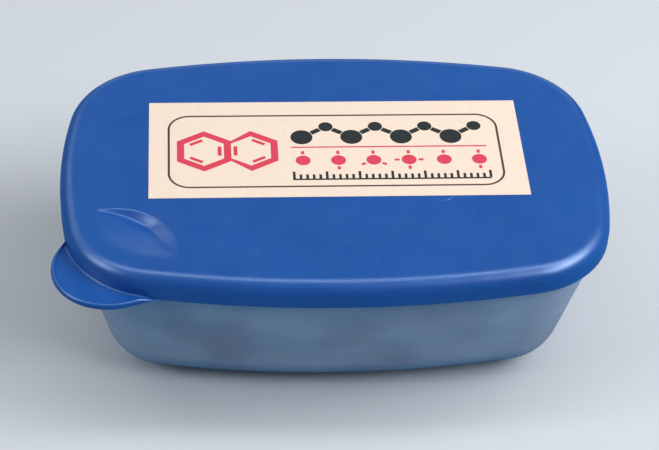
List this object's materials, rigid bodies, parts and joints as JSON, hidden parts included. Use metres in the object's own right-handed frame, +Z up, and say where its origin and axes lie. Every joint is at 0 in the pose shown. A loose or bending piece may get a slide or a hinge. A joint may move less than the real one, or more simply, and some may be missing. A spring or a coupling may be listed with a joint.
{
  "type": "molecular model kit",
  "caption": "Milky storage tub with a blue snap lid, pull tab and paper label, holding socketed ball atoms, push-in links, a link remover, a folded sheet and a small built model.",
  "frame": {"origin": "middle of the tub's flat base, on the surface it stands on", "axes": "+X along the tub's length to the right, +Y to the back, away from the pull tab's side, +Z up out of the lid"},
  "size_m": [0.2271, 0.149, 0.0759],
  "materials": {
    "tub_milky": "milky translucent moulded polyethylene, smooth satin",
    "lid_blue": "soft blue moulded polyethylene, fine satin texture",
    "label_paper": "cream printed label paper",
    "sheet_paper": "white uncoated printed paper",
    "carbon_black": "black moulded plastic",
    "hydrogen_white": "white moulded plastic",
    "oxygen_red": "red moulded plastic",
    "nitrogen_blue": "blue moulded plastic",
    "chlorine_green": "green moulded plastic",
    "sulphur_yellow": "yellow moulded plastic",
    "link_grey": "grey flexible moulded plastic",
    "remover_grey": "pale grey moulded plastic"
  },
  "bodies": {
    "tub": {"tub": "tub_milky", "carbon_1": "carbon_black", "carbon_11": "carbon_black", "carbon_2": "carbon_black", "carbon_3": "carbon_black", "carbon_4": "carbon_black", "carbon_5": "carbon_black", "carbon_6": "carbon_black", "carbon_7": "carbon_black", "carbon_8": "carbon_black", "carbon_9": "carbon_black", "chlorine_1": "chlorine_green", "chlorine_2": "chlorine_green", "hydrogen_1": "hydrogen_white", "hydrogen_10": "hydrogen_white", "hydrogen_12": "hydrogen_white", "hydrogen_2": "hydrogen_white", "hydrogen_3": "hydrogen_white", "hydrogen_4": "hydrogen_white", "hydrogen_5": "hydrogen_white", "hydrogen_6": "hydrogen_white", "hydrogen_7": "hydrogen_white", "hydrogen_8": "hydrogen_white", "hydrogen_9": "hydrogen_white", "link_remover": "remover_grey", "long_links": "link_grey", "model_carbon_lower": "carbon_black", "model_link_1": "link_grey", "model_link_2": "link_grey", "model_link_3": "link_grey", "model_link_axis": "link_grey", "nitrogen_1": "nitrogen_blue", "nitrogen_2": "nitrogen_blue", "oxygen_1": "oxygen_red", "oxygen_2": "oxygen_red", "short_links": "link_grey", "sulphur_1": "sulphur_yellow"},
    "lid": {"lid": "lid_blue", "label": "label_paper"},
    "model_upper": {"model_carbon_upper": "carbon_black", "model_link_4": "link_grey", "model_link_5": "link_grey", "model_link_6": "link_grey"},
    "model_hydrogen_1": {"model_hydrogen_1": "hydrogen_white"},
    "model_hydrogen_2": {"model_hydrogen_2": "hydrogen_white"},
    "model_hydrogen_3": {"model_hydrogen_3": "hydrogen_white"},
    "model_hydrogen_4": {"model_hydrogen_4": "hydrogen_white"},
    "model_hydrogen_5": {"model_hydrogen_5": "hydrogen_white"},
    "model_hydrogen_6": {"model_hydrogen_6": "hydrogen_white"},
    "instruction_sheet": {"instruction_sheet": "sheet_paper"},
    "carbon_10": {"carbon_10": "carbon_black"},
    "carbon_12": {"carbon_12": "carbon_black"},
    "carbon_13": {"carbon_13": "carbon_black"},
    "chlorine_3": {"chlorine_3": "chlorine_green"},
    "hydrogen_11": {"hydrogen_11": "hydrogen_white"},
    "nitrogen_3": {"nitrogen_3": "nitrogen_blue"},
    "oxygen_3": {"oxygen_3": "oxygen_red"},
    "oxygen_4": {"oxygen_4": "oxygen_red"},
    "oxygen_5": {"oxygen_5": "oxygen_red"}
  },
  "joints": [
    {"name": "lid_lift", "type": "slide", "parent": "tub", "child": "lid", "axis": [0, 0, 1], "range_m": [0, 0.15]},
    {"name": "model_turn", "type": "hinge", "parent": "tub", "child": "model_upper", "pos_m": [-0.051, 0.004, 0.04993], "axis": [0, 0, 1], "continuous": true},
    {"name": "hydrogen_turn_1", "type": "hinge", "parent": "tub", "child": "model_hydrogen_1", "pos_m": [-0.02863, 0.01692, 0.0104], "axis": [0.8165, 0.4714, -0.3333], "continuous": true},
    {"name": "hydrogen_turn_2", "type": "hinge", "parent": "tub", "child": "model_hydrogen_2", "pos_m": [-0.07337, 0.01692, 0.0104], "axis": [-0.8165, 0.4714, -0.3333], "continuous": true},
    {"name": "hydrogen_turn_3", "type": "hinge", "parent": "tub", "child": "model_hydrogen_3", "pos_m": [-0.051, -0.02183, 0.0104], "axis": [0, -0.9428, -0.3333], "continuous": true},
    {"name": "hydrogen_turn_4", "type": "hinge", "parent": "model_upper", "child": "model_hydrogen_4", "pos_m": [-0.051, 0.02983, 0.05907], "axis": [0, 0.9428, 0.3333], "continuous": true},
    {"name": "hydrogen_turn_5", "type": "hinge", "parent": "model_upper", "child": "model_hydrogen_5", "pos_m": [-0.07337, -0.00892, 0.05907], "axis": [-0.8165, -0.4714, 0.3333], "continuous": true},
    {"name": "hydrogen_turn_6", "type": "hinge", "parent": "model_upper", "child": "model_hydrogen_6", "pos_m": [-0.02863, -0.00892, 0.05907], "axis": [0.8165, -0.4714, 0.3333], "continuous": true},
    {"name": "sheet_lift", "type": "slide", "parent": "tub", "child": "instruction_sheet", "axis": [0, 0.2521, 0.9677], "range_m": [0, 0.002]},
    {"name": "carbon_10_lift", "type": "slide", "parent": "tub", "child": "carbon_10", "axis": [0, 0, 1], "range_m": [0, 0.027]},
    {"name": "carbon_12_lift", "type": "slide", "parent": "tub", "child": "carbon_12", "axis": [0, 0, 1], "range_m": [0, 0.027]},
    {"name": "carbon_13_lift", "type": "slide", "parent": "tub", "child": "carbon_13", "axis": [0, 0, 1], "range_m": [0, 0.029]},
    {"name": "chlorine_3_lift", "type": "slide", "parent": "tub", "child": "chlorine_3", "axis": [0, 0, 1], "range_m": [0, 0.033]},
    {"name": "hydrogen_11_lift", "type": "slide", "parent": "tub", "child": "hydrogen_11", "axis": [0, 0, 1], "range_m": [0, 0.033]},
    {"name": "nitrogen_3_lift", "type": "slide", "parent": "tub", "child": "nitrogen_3", "axis": [0, 0, 1], "range_m": [0, 0.028]},
    {"name": "oxygen_3_lift", "type": "slide", "parent": "tub", "child": "oxygen_3", "axis": [0, 0, 1], "range_m": [0, 0.031]},
    {"name": "oxygen_4_lift", "type": "slide", "parent": "tub", "child": "oxygen_4", "axis": [0, 0, 1], "range_m": [0, 0.012]},
    {"name": "oxygen_5_lift", "type": "slide", "parent": "tub", "child": "oxygen_5", "axis": [0, 0, 1], "range_m": [0, 0.03]}
  ]
}
